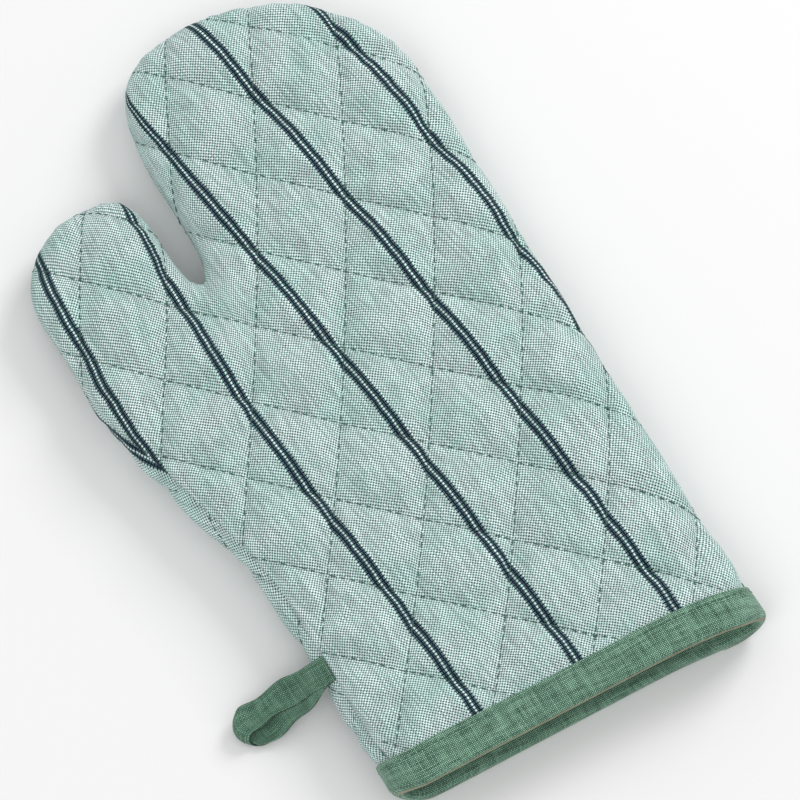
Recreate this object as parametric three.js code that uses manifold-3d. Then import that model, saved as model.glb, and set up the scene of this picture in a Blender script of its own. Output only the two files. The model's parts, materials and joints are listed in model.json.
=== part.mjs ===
// A quilted oven mitt lying on its palm: two padded panels sewn together round the edge,
// a tape bound round the cuff, and a hanging loop of the same tape in the thumb side seam.
//
// Millimetres. +Y runs from the cuff to the fingertips, the thumb is on the -X side and +Z is up.
// While the pieces are made, x = 0 is the middle of the fingers, y = 0 the outer edge of the cuff
// and z = 0 the surface that the mitt lies on.

import * as THREE from 'three';
import { mergeVertices } from 'three/addons/utils/BufferGeometryUtils.js';
import Module from 'manifold-3d';

const wasm = await Module();
wasm.setup();

// Plan of the mitt.
const MITT_LENGTH = 320; // cuff edge to fingertips
const CUFF_WIDTH = 161; // across the cuff
const CUFF_FLARE = 2.5; // how far the straight side spreads at the cuff
const CUFF_FLARE_LENGTH = 50;
const FINGER_WIDTH = 113; // across the fingers
const FINGER_ROUND = 62; // length over which the fingertips round off
const FINGER_PEAK = -10; // the highest point of the fingertips, from their middle
const THUMB_WIDTH = 56;
const THUMB_SPREAD = 67; // from the side of the fingers to the outside of the thumb
const THUMB_ROUND = 28; // length over which the thumb tip rounds off
const THUMB_PEAK = 33; // the highest point of the thumb tip, from its outside
const THUMB_TIP = 273; // cuff edge to thumb tip
const PALM = 84; // cuff edge to where the thumb side starts to spread
const THUMB_BASE = 206; // cuff edge to where it has spread fully
const FORK_LOW = 130; // cuff edge to where thumb and fingers start to part
const FORK_HIGH = 238; // and to where both are at their own width

// Height of the mitt as it lies.
const CUFF_HEIGHT = 27;
const TIP_HEIGHT = 21;
const SEAM_HEIGHT = 12; // the side seam above the surface
const EDGE_ROUND = 22; // how far in from the seam a panel takes to reach its full height

// The layers of a panel, from the outside in.
const GAP = 0.3; // clearance between pieces that touch
const COVER = 1.2;
const WADDING = 3.6;
const LINING = 0.8;
const WADDING_OUT = COVER + GAP;
const LINING_OUT = WADDING_OUT + WADDING + GAP;
const PANEL = LINING_OUT + LINING;

// Sewing.
const THREAD = 0.6; // width of a line of stitches
const THREAD_SUNK = 0.1; // how far the stitches lie below the cloth
const THREAD_DEPTH = 0.4;
const SEAM_THREAD = 0.9; // the heavier thread of the side seam

// Cuff binding: one folded tape over the raw edges of both panels.
const BINDING_WIDTH = 15;
const BINDING = 1.2; // thickness of the folded tape
const BINDING_STITCH = 12.5; // from the cuff edge to its line of stitches
const PINCH_LENGTH = 14; // past the tape, over which the panels swell to full thickness

// Hanging loop: a tape folded in half, its two ends in the side seam.
const LOOP_REACH = 39; // from the seam to the tip of the loop
const LOOP_WIDTH = 13;
const LOOP_TAPE = 1.1;
const LOOP_EYE = 2.4; // half the height of the open eye
const LOOP_PLACE = 60; // cuff edge to the middle of the loop
const LOOP_STITCH_IN = 1.6; // from the edge of the tape to its stitches
const LOOP_CLEAR = 0.4; // from the loop's rounded root to the seam, and under its tip

const CUFF_EDGE = BINDING + GAP; // where the panels end, inside the fold of the tape
const FINGER_SIDE = FINGER_WIDTH / 2;
const CUFF_LEFT = FINGER_SIDE + CUFF_FLARE - CUFF_WIDTH;
const THUMB_LEFT = -FINGER_SIDE - THUMB_SPREAD;
const THUMB_RIGHT = THUMB_LEFT + THUMB_WIDTH;
const FAR = 1000; // larger than the mitt
const STATION = 25; // between cross-sections on the straight part

const { clamp, lerp, smoothstep } = THREE.MathUtils;

const fabric = (color, roughness = 0.95) =>
  new THREE.MeshStandardMaterial({ color, roughness, metalness: 0 });
const COVER_CLOTH = fabric(0xacc1be);
const LINING_CLOTH = fabric(0xe4e0d2);
const COTTON_WADDING = fabric(0xf2efe6, 1);
const GREEN_TAPE = fabric(0x5a806c, 0.9);
const SAGE_THREAD = fabric(0x9fb5b0, 0.8);
const GREEN_THREAD = fabric(0x4e745f, 0.8);

// ---------------------------------------------------------------- solids

function solidOf(geometry) {
  const bare = geometry.clone();
  bare.deleteAttribute('normal');
  bare.deleteAttribute('uv');
  const merged = mergeVertices(bare, 1e-4);
  return new wasm.Manifold(
    new wasm.Mesh({
      numProp: 3,
      vertProperties: new Float32Array(merged.attributes.position.array),
      triVerts: new Uint32Array(merged.index.array),
    }),
  );
}

function meshOf(name, solid, material) {
  const { vertProperties, triVerts } = solid.getMesh();
  const geometry = new THREE.BufferGeometry();
  geometry.setAttribute('position', new THREE.BufferAttribute(vertProperties, 3));
  geometry.setIndex(new THREE.BufferAttribute(triVerts, 1));
  geometry.computeVertexNormals();
  const mesh = new THREE.Mesh(geometry, material);
  mesh.name = name;
  return mesh;
}

// A block between two corners.
function block(low, high) {
  const box = new THREE.Box3(new THREE.Vector3(...low), new THREE.Vector3(...high));
  const size = box.getSize(new THREE.Vector3());
  const middle = box.getCenter(new THREE.Vector3());
  return solidOf(new THREE.BoxGeometry(...size).translate(...middle));
}

const joined = (solids) => solids.reduce((all, solid) => all.add(solid));
const between = (yLow, yHigh) => block([-FAR, yLow, -FAR], [FAR, yHigh, FAR]);
const heights = (zLow, zHigh) => block([-FAR, -FAR, zLow], [FAR, FAR, zHigh]);

// ---------------------------------------------------------------- the mitt's outer form

// 1 on the straight part of a side, falling to 0 at a rounded tip. The exponent sets how blunt it is.
function roundOff(y, tip, length, exponent) {
  const t = Math.min(Math.max((y - (tip - length)) / length, 0), 1);
  return (1 - t ** exponent) ** (1 / exponent);
}

const outerLeft = (y) => lerp(CUFF_LEFT, THUMB_LEFT, smoothstep(y, PALM, THUMB_BASE));

const HAND = {
  first: [-BINDING_WIDTH, BINDING_WIDTH, BINDING_WIDTH + PINCH_LENGTH],
  tip: MITT_LENGTH,
  round: FINGER_ROUND,
  peak: FINGER_PEAK,
  blunt: [3.4, 1.85],
  left: (y) => lerp(outerLeft(y), -FINGER_SIDE, smoothstep(y, FORK_LOW, FORK_HIGH)),
  right: (y) => FINGER_SIDE + CUFF_FLARE * (1 - smoothstep(y, 0, CUFF_FLARE_LENGTH)),
};

const THUMB = {
  first: [Math.ceil(PALM / STATION) * STATION],
  tip: THUMB_TIP,
  round: THUMB_ROUND,
  peak: THUMB_LEFT + THUMB_PEAK,
  blunt: [1.85, 3],
  left: outerLeft,
  right: (y) => lerp(0, THUMB_RIGHT, smoothstep(y, FORK_LOW, FORK_HIGH)),
};

const topAt = (y) => lerp(CUFF_HEIGHT, TIP_HEIGHT, y / MITT_LENGTH);
const pinchAt = (y) =>
  (BINDING + GAP) * (1 - clamp((y - BINDING_WIDTH) / PINCH_LENGTH, 0, 1));

// One cross-section: a flat top and bottom, joined by quarter ellipses that meet at the seam.
function section(y, left, right, top, bottom, round) {
  const steps = 4;
  const points = [];
  const corners = [
    [right - round, top - SEAM_HEIGHT],
    [left + round, top - SEAM_HEIGHT],
    [left + round, SEAM_HEIGHT - bottom],
    [right - round, SEAM_HEIGHT - bottom],
  ];
  corners.forEach(([x, rise], quarter) => {
    for (let i = 0; i <= steps; i++) {
      const sharedWithNext = i === steps && quarter % 2 === 1;
      if (sharedWithNext) continue;
      const angle = ((quarter + i / steps) * Math.PI) / 2;
      points.push([x + round * Math.cos(angle), y, SEAM_HEIGHT + rise * Math.sin(angle)]);
    }
  });
  return points;
}

// A closed skin over a row of cross-sections with the same number of points.
function loft(sections) {
  const count = sections[0].length;
  const index = [];
  for (let row = 0; row + 1 < sections.length; row++) {
    for (let i = 0; i < count; i++) {
      const a = row * count + i;
      const b = row * count + ((i + 1) % count);
      index.push(a, a + count, b, b, a + count, b + count);
    }
  }
  const last = (sections.length - 1) * count;
  for (let i = 1; i + 1 < count; i++) {
    index.push(0, i, i + 1);
    index.push(last, last + i + 1, last + i);
  }
  const geometry = new THREE.BufferGeometry();
  geometry.setAttribute('position', new THREE.Float32BufferAttribute(sections.flat(2), 3));
  geometry.setIndex(index);
  return solidOf(geometry);
}

// Where the cross-sections stand: on whole steps along the straight part, which the thumb and the
// hand share so that their sides meet exactly, then closer towards the tip.
function stations({ first, tip, round }, inset) {
  const straight = tip - round;
  const tipSteps = 7;
  const places = [...first];
  const next = (Math.floor(first.at(-1) / STATION) + 1) * STATION;
  for (let y = next; y < straight; y += STATION) places.push(y);
  for (let i = 0; i <= tipSteps; i++) {
    const reach = Math.sin((i / tipSteps) * 0.98 * (Math.PI / 2));
    places.push(lerp(straight, tip - inset, reach));
  }
  return places;
}

function finger(shape, inset) {
  const { tip, round, peak, blunt } = shape;
  const innerTip = tip - inset;
  const sections = stations(shape, inset).map((y) => {
    const pinch = pinchAt(y) + inset;
    const [blunterLeft, blunterRight] = blunt.map((e) => roundOff(y, innerTip, round - inset, e));
    const left = lerp(peak, shape.left(y) + pinch, blunterLeft);
    const right = lerp(peak, shape.right(y) - pinch, blunterRight);
    const edge = EDGE_ROUND - inset;
    const rise = Math.sqrt(1 - (1 - Math.min((innerTip - y) / edge, 1)) ** 2);
    const top = lerp(SEAM_HEIGHT, topAt(y) - pinch, rise);
    const bottom = lerp(SEAM_HEIGHT, pinch, rise);
    return section(y, left, right, top, bottom, Math.min(edge, (right - left) * 0.49));
  });
  return loft(sections);
}

// The whole mitt as one filled form, every face moved in by the inset.
const formsMade = new Map();
function form(inset) {
  if (!formsMade.has(inset)) formsMade.set(inset, finger(HAND, inset).add(finger(THUMB, inset)));
  return formsMade.get(inset);
}

const layer = (outside, inside) => form(outside).subtract(form(inside));

// ---------------------------------------------------------------- panels

const FRONT = heights(SEAM_HEIGHT + GAP / 2, FAR);
const BACK = heights(-FAR, SEAM_HEIGHT - GAP / 2);
const INSIDE_CUFF = between(CUFF_EDGE, FAR);
const WADDING_SPLIT = SEAM_THREAD / 2 + GAP;

const cover = (side) => layer(0, COVER).intersect(side).intersect(INSIDE_CUFF);

function wadding(zLow, zHigh) {
  return layer(WADDING_OUT, WADDING_OUT + WADDING).intersect(heights(zLow, zHigh)).intersect(INSIDE_CUFF);
}

const lining = (side) => layer(LINING_OUT, PANEL).intersect(side).intersect(INSIDE_CUFF);

function sideSeam() {
  const ring = layer(WADDING_OUT, WADDING_OUT + SEAM_THREAD);
  const level = heights(SEAM_HEIGHT - SEAM_THREAD / 2, SEAM_HEIGHT + SEAM_THREAD / 2);
  return ring.intersect(level).intersect(INSIDE_CUFF);
}

// ---------------------------------------------------------------- cuff binding

function binding() {
  const outside = form(-GAP - BINDING).intersect(between(0, BINDING_WIDTH));
  const mouth = form(PANEL + GAP + BINDING);
  const fold = layer(-GAP, PANEL + GAP).intersect(between(CUFF_EDGE - GAP, FAR));
  const groove = THREAD_SUNK + THREAD_DEPTH + GAP;
  return outside.subtract(mouth).subtract(fold).subtract(bindingRing(-BINDING, groove, THREAD + 2 * GAP));
}

// A band round the outside of the tape, between two depths below its face.
function bindingRing(outer, inner, width) {
  const face = -GAP - BINDING;
  const strip = between(BINDING_STITCH - width / 2, BINDING_STITCH + width / 2);
  return layer(face + outer, face + inner).intersect(strip);
}

// ---------------------------------------------------------------- hanging loop

const LOOP_ROOT_X = outerLeft(LOOP_PLACE) - LOOP_CLEAR - LOOP_TAPE;
const LOOP_TIP_X = outerLeft(LOOP_PLACE) - LOOP_REACH;
const LOOP_HALF = LOOP_EYE + LOOP_TAPE; // half the height at the eye
const LOOP_REST = LOOP_HALF + LOOP_CLEAR; // its middle line above the surface
const PLIES_PART = [0.5, 0.72]; // shares of its length between which the two plies part
const EYE_START = 0.62; // share of its length where the open eye begins

// The middle line of the folded tape: down from the seam, then along the surface to the tip.
const loopLine = new THREE.CubicBezierCurve(
  new THREE.Vector2(LOOP_ROOT_X, SEAM_HEIGHT),
  new THREE.Vector2(lerp(LOOP_ROOT_X, LOOP_TIP_X, 0.3), SEAM_HEIGHT),
  new THREE.Vector2(lerp(LOOP_ROOT_X, LOOP_TIP_X, 0.45), LOOP_REST),
  new THREE.Vector2(LOOP_TIP_X + LOOP_HALF, LOOP_REST),
);

// Its outline seen from the cuff, moved in by the inset. Both ends are half circles.
function loopOutline(inset, start = 0) {
  const steps = 12;
  const upper = [];
  const lower = [];
  for (let i = 0; i <= steps; i++) {
    const along = lerp(start, 1, i / steps);
    const point = loopLine.getPointAt(along);
    const tangent = loopLine.getTangentAt(along);
    const normal = new THREE.Vector2(tangent.y, -tangent.x);
    const half = lerp(LOOP_TAPE, LOOP_HALF, smoothstep(along, ...PLIES_PART)) - inset;
    upper.push(point.clone().addScaledVector(normal, half));
    lower.unshift(point.clone().addScaledVector(normal, -half));
  }
  const tip = halfCircle(loopLine.getPointAt(1), upper.at(-1));
  const root = halfCircle(loopLine.getPointAt(start), lower.at(-1));
  return [...upper, ...tip, ...lower, ...root];
}

// The points of a half circle that starts at one point, without its two ends.
function halfCircle(centre, from) {
  const steps = 6;
  const points = [];
  for (let i = 1; i < steps; i++) {
    points.push(from.clone().rotateAround(centre, (Math.PI * i) / steps));
  }
  return points;
}

function acrossLoop(outline, yLow, yHigh) {
  const strip = new THREE.ExtrudeGeometry(new THREE.Shape(outline), {
    depth: yHigh - yLow,
    bevelEnabled: false,
  });
  return solidOf(strip.rotateX(Math.PI / 2).translate(0, yHigh, 0));
}

const LOOP_LOW = LOOP_PLACE - LOOP_WIDTH / 2;
const LOOP_HIGH = LOOP_PLACE + LOOP_WIDTH / 2;

// Two lines of stitches near the edges of the tape and the tack that joins them at the root.
function loopStitching(outer, inner, width) {
  const band = acrossLoop(loopOutline(outer), LOOP_LOW, LOOP_HIGH).subtract(
    acrossLoop(loopOutline(inner), LOOP_LOW - 1, LOOP_HIGH + 1),
  );
  const lines = [LOOP_LOW + LOOP_STITCH_IN, LOOP_HIGH - LOOP_STITCH_IN].map((y) =>
    between(y - width / 2, y + width / 2),
  );
  const tackX = LOOP_ROOT_X - 2 * LOOP_STITCH_IN;
  const tack = block(
    [tackX - width / 2, LOOP_LOW + LOOP_STITCH_IN, SEAM_HEIGHT - LOOP_TAPE / 2],
    [tackX + width / 2, LOOP_HIGH - LOOP_STITCH_IN, FAR],
  );
  return band.intersect(joined([...lines, tack]));
}

function loop() {
  const tape = acrossLoop(loopOutline(0), LOOP_LOW, LOOP_HIGH);
  const eye = acrossLoop(loopOutline(LOOP_TAPE, EYE_START), LOOP_LOW - 1, LOOP_HIGH + 1);
  const grooves = loopStitching(-LOOP_TAPE, THREAD_SUNK + THREAD_DEPTH + GAP, THREAD + 2 * GAP);
  return tape.subtract(eye).subtract(grooves);
}

// ---------------------------------------------------------------- the assembly

const mitt = new THREE.Group();
mitt.name = 'oven_mitt';
mitt.add(
  meshOf('front_cover', cover(FRONT), COVER_CLOTH),
  meshOf('back_cover', cover(BACK), COVER_CLOTH),
  meshOf('front_wadding', wadding(SEAM_HEIGHT + WADDING_SPLIT, FAR), COTTON_WADDING),
  meshOf('back_wadding', wadding(-FAR, SEAM_HEIGHT - WADDING_SPLIT), COTTON_WADDING),
  meshOf('front_lining', lining(FRONT), LINING_CLOTH),
  meshOf('back_lining', lining(BACK), LINING_CLOTH),
  meshOf('side_seam_thread', sideSeam(), SAGE_THREAD),
  meshOf('cuff_binding', binding(), GREEN_TAPE),
  meshOf('cuff_binding_thread', bindingRing(THREAD_SUNK, THREAD_SUNK + THREAD_DEPTH, THREAD), GREEN_THREAD),
  meshOf('hanging_loop', loop(), GREEN_TAPE),
  meshOf('loop_thread', loopStitching(THREAD_SUNK, THREAD_SUNK + THREAD_DEPTH, THREAD), GREEN_THREAD),
);

// The origin is the middle of the underside of the whole part.
const box = new THREE.Box3().setFromObject(mitt);
const middle = box.getCenter(new THREE.Vector3());
mitt.position.set(-middle.x, -middle.y, -box.min.z);

export default mitt;
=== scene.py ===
"""A quilted linen oven mitt: two padded sides, a taped cuff and a hanging loop of the same tape."""
import json
import math
import random

import bmesh
import bpy
import numpy as np
from bpy.props import FloatProperty, FloatVectorProperty, IntProperty, PointerProperty
from mathutils import Matrix, Vector, noise
from mathutils.bvhtree import BVHTree
from mathutils.geometry import barycentric_transform


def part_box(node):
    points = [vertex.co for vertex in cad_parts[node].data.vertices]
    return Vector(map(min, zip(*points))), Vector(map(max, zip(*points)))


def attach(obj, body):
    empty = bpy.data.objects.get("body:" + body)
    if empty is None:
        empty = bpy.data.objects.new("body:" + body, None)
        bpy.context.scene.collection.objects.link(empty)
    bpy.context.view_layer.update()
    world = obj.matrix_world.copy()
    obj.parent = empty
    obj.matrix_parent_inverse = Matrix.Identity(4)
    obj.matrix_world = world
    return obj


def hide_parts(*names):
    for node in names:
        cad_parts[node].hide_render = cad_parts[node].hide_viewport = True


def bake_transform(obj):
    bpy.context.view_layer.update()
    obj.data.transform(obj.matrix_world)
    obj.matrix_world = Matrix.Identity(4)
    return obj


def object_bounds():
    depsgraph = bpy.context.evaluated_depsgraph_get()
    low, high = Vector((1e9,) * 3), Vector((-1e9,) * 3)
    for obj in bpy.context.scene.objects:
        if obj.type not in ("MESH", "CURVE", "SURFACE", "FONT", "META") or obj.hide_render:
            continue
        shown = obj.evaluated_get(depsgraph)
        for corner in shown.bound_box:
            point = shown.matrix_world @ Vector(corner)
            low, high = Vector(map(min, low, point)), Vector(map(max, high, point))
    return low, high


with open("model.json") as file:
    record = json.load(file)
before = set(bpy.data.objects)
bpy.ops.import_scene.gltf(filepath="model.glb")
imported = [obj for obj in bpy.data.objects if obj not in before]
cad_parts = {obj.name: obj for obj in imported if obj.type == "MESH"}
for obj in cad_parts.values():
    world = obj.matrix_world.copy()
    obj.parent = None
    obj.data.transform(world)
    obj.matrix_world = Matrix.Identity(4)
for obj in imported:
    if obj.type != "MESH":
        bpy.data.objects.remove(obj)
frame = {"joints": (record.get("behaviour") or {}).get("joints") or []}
CAD_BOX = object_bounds()

bl_info = {
    "name": "Quilted Oven Mitt",
    "version": (1, 0, 0),
    "blender": (4, 5, 0),
    "location": "View3D > Sidebar > Mitt",
    "description": "Makes a quilted linen oven mitt with a taped cuff and a hanging loop",
    "category": "Add Mesh",
}

MM = 0.001
FRONT, BACK = 1, -1
SIDE_NAMES = {FRONT: "front", BACK: "back"}
HINGE = Vector(frame["joints"][0]["pos_m"])  # where the loop leaves the side seam
HINGE_OUT = 1.5 * MM  # from the straight part of the thumb side out to the hinge
LOOP_PLACE = 60 * MM  # from the cuff's edge to the middle of the loop
MITT_LENGTH = CAD_BOX[1][1] - CAD_BOX[0][1]
CUFF_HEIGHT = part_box("cuff_binding")[1][2]


def length(name, description, millimetres):
    """A length setting, given in millimetres and kept in metres."""
    return FloatProperty(name=name, description=description, default=millimetres * MM, unit="LENGTH")


def angle(name, description, degrees):
    """An angle setting, given in degrees and kept in radians."""
    return FloatProperty(name=name, description=description, default=math.radians(degrees), unit="ROTATION")


def number(name, description, value):
    """A setting with no unit."""
    return FloatProperty(name=name, description=description, default=value)


def colour(name, description, *channels):
    """A colour setting in linear light."""
    return FloatVectorProperty(
        name=name, description=description, default=channels, size=3, subtype="COLOR", min=0.0, max=1.0
    )


class MittShape(bpy.types.PropertyGroup):
    """The mitt's cut and thickness. Across is from the middle of the fingers and along is from the cuff."""

    mitt_length: FloatProperty(
        name="Mitt length", description="Cuff edge to fingertips", default=MITT_LENGTH, unit="LENGTH"
    )
    cuff_left: length("Cuff left", "Thumb side of the cuff", -102)
    thumb_left: length("Thumb left", "Outer side of the thumb", -123.5)
    thumb_right: length("Thumb right", "Inner side of the thumb", -67.5)
    thumb_tip: length("Thumb tip", "Cuff edge to the tip of the thumb", 273)
    thumb_round: length("Thumb round", "Length of the thumb's rounded end", 28)
    thumb_peak: length("Thumb peak", "Where the thumb is longest", -90.5)
    finger_side: length("Finger side", "Half the width over the fingers", 56.5)
    finger_round: length("Finger round", "Length of the fingers' rounded end", 62)
    finger_peak: length("Finger peak", "Where the fingers are longest", -10)
    cuff_flare: length("Cuff flare", "How much the cuff widens on the finger side", 2.5)
    cuff_flare_end: length("Flare end", "Where the cuff's flare ends", 50)
    palm: length("Palm", "Where the thumb side starts to spread", 84)
    thumb_base: length("Thumb base", "Where the thumb side has spread", 206)
    fork_low: length("Fork low", "Where thumb and fingers start to part", 130)
    fork_high: length("Fork high", "Where thumb and fingers have parted", 238)
    fork_round: length("Fork round", "Length of edge rounded off in the fork", 9)
    tip_height: length("Tip height", "Thickness of the mitt at the fingertips", 21)
    seam_height: length("Seam height", "Height of the side seam", 12)
    edge_round: length("Edge round", "Width of the rounded sides", 22)
    panel_start: length("Panel start", "Where the panels end inside the binding", 1.5)
    seam_groove: length("Seam groove", "How far the covers tuck in at the side seam", 1.3)
    groove_width: length("Groove width", "How wide the tuck is", 2.6)
    seam_roll: angle("Seam roll", "How far the side seam turns up onto the front below the thumb", 33)
    roll_start: length("Roll start", "Below here the seam is fully turned up", 160)
    roll_end: length("Roll end", "Above here the seam isn't turned up", 215)
    cuff_slant: length("Cuff slant", "How much lower the cuff's edge is on the finger side", 4)
    cuff_droop: length("Cuff droop", "How much further the last of the finger side droops", 4)
    corner_left: length("Left corner", "How far the cuff's thumb-side corner draws up", 6)
    corner_right: length("Right corner", "How far the cuff's finger-side corner draws up", 3)
    corner_width: length("Corner width", "Width of the cuff's rounded corners", 16)


class MittQuilt(bpy.types.PropertyGroup):
    """The quilting: two sets of stitched lines that cross in diamonds, and the puffs between them."""

    steep_pitch: length("Steep pitch", "Spacing of the first set of lines", 34.58)
    steep_turn: angle("Steep turn", "Direction across them", -31.85)
    steep_phase: number("Steep phase", "Their place, in spacings", 5.288)
    steep_bow: length("Steep bow", "How far they bow 100 mm from the middle", 4.1)
    shallow_pitch: length("Shallow pitch", "Spacing of the second set of lines", 30.72)
    shallow_turn: angle("Shallow turn", "Direction across them", -133.5)
    shallow_phase: number("Shallow phase", "Their place, in spacings", 7.365)
    shallow_bow: length("Shallow bow", "How far they bow 100 mm from the middle", 2.0)
    valley: length("Valley", "How deep the stitched lines pull the cover in", 2.4)
    crest: length("Crest", "How far the puffs stand proud", 1.3)
    edge_crest: length("Edge crest", "How far the puffs stand proud at the mitt's edge", 1.7)
    crease: length("Crease", "How sharply the stitches cut into the cover", 0.9)
    pucker: length("Pucker", "Height of the small folds beside the stitches", 0.8)
    fullness: number("Fullness", "How flat the tops of the puffs are", 3.0)
    slack: number("Slack", "Spare cloth between the lines, as a share", 0.03)
    stitch: length("Stitch", "Length of one quilting stitch", 2.9)
    stitch_gap: length("Stitch gap", "Gap between two stitches", 1.0)
    thread: length("Thread", "Thickness of the sewing thread", 0.5)


class MittCloth(bpy.types.PropertyGroup):
    """The cloths, their weave and their colours."""

    pick: length("Thread spacing", "Spacing of the cover's threads", 0.72)
    tape_pick: length("Tape spacing", "Spacing of the tape's threads", 0.68)
    lining_pick: length("Lining spacing", "Spacing of the lining's threads", 0.5)
    stripe_threads: IntProperty(
        name="Stripe spacing", description="Warp threads from stripe to stripe", default=60
    )
    stripe_place: length("Stripe place", "Where one stripe lies at the cuff, on the front", -14.8)
    back_stripe_place: length("Back stripe place", "Where one stripe lies at the cuff, on the back", -17.5)
    grain_low: number("Grain at cuff", "Slant of the warp at the cuff", 0.075)
    grain_high: number("Grain at tip", "Slant of the warp at the fingertips", 0.18)
    warp: colour("Warp", "Pale threads of the cover", 0.86, 0.98, 0.97)
    weft: colour("Weft", "Sage threads of the cover", 0.02, 0.095, 0.085)
    stripe: colour("Stripe", "Navy threads of the stripes", 0.003, 0.011, 0.032)
    # These are the tape's lighter and darker threads, and also its painted light and shade: the weave's
    # relief mixes toward the light colour on the thread crowns and toward the dark one in the gaps.
    tape_light: colour("Tape light", "Lighter threads of the tape", 0.36, 0.62, 0.46)
    tape_dark: colour("Tape dark", "Darker threads of the tape", 0.010, 0.042, 0.025)
    tape_fold: colour("Tape fold", "Tan undyed cloth that shows at the tape's fold", 0.33, 0.22, 0.11)
    lining: colour("Lining", "Undyed cotton of the lining", 0.72, 0.69, 0.61)
    wadding: colour("Wadding", "Cotton wadding", 0.78, 0.76, 0.70)
    # Partly the thread's own sage and partly painted shade: it is darkened to stand for the shade in the
    # stitched creases and the side seam's groove.
    sage_thread: colour("Sage thread", "Thread of the quilting and the side seam", 0.055, 0.13, 0.11)
    green_thread: colour("Green thread", "Thread of the cuff and the loop", 0.075, 0.17, 0.115)


class MittTape(bpy.types.PropertyGroup):
    """The green tape: the binding of the cuff and the hanging loop."""

    width: length("Binding width", "Width of the tape on the outside of the cuff", 15)
    inner_width: length("Inner width", "Width of the tape inside the cuff", 12.5)
    thickness: length("Tape thickness", "Thickness of the folded tape", 1.1)
    fold_line: length("Fold line", "How far past the tape's fold its tan line shows", 1.2)
    stitch_line: length("Stitch line", "Cuff edge to the row of stitches", 12.8)
    loop_width: length("Loop width", "Width of the hanging loop", 11)
    loop_reach: length("Loop reach", "How far the loop stands out of the side seam", 34.5)
    loop_skew: length("Loop skew", "How far the loop's lower leg lies off its upper one", 6)
    loop_round: length("Loop round", "How much the corners of the loop's end draw back", 3.5)
    loop_eye: length("Loop eye", "Half the height of the open end of the loop", 2.8)


class MittStage(bpy.types.PropertyGroup):
    """The studio: floor, lights and camera."""

    target: FloatVectorProperty(
        name="Target", description="What the camera looks at", default=(0.0222, -0.0170, 0.012), size=3,
        subtype="TRANSLATION", unit="LENGTH"
    )
    distance: FloatProperty(name="Distance", description="Camera to target", default=3.0, unit="LENGTH")
    azimuth: angle("Azimuth", "Camera's turn round the mitt", -30.1)
    elevation: angle("Elevation", "Camera's angle above the floor", 70.3)
    lens: number("Lens", "Focal length in millimetres", 347.5)
    floor: colour("Floor", "The pale floor", 0.86, 0.86, 0.86)
    key_power: number("Key light", "Power of the key light", 24.0)
    fill_power: number("Fill light", "Power of the fill light", 12.0)
    sky: number("Sky", "Strength of the even light all round", 0.72)


# ---------------------------------------------------------------- the cut of the mitt


def smoothstep(value, start, end):
    """0 before start, 1 after end, and a smooth rise between."""
    share = np.clip((value - start) / (end - start), 0.0, 1.0)
    return share * share * (3.0 - 2.0 * share)


def lerp(a, b, share):
    """From a to b."""
    return a + (b - a) * share


def round_off(y, tip, rounded, blunt):
    """1 along a straight side and 0 at its tip, in a superellipse."""
    share = np.clip((y - (tip - rounded)) / rounded, 0.0, 1.0)
    return (1.0 - share**blunt) ** (1.0 / blunt)


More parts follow.
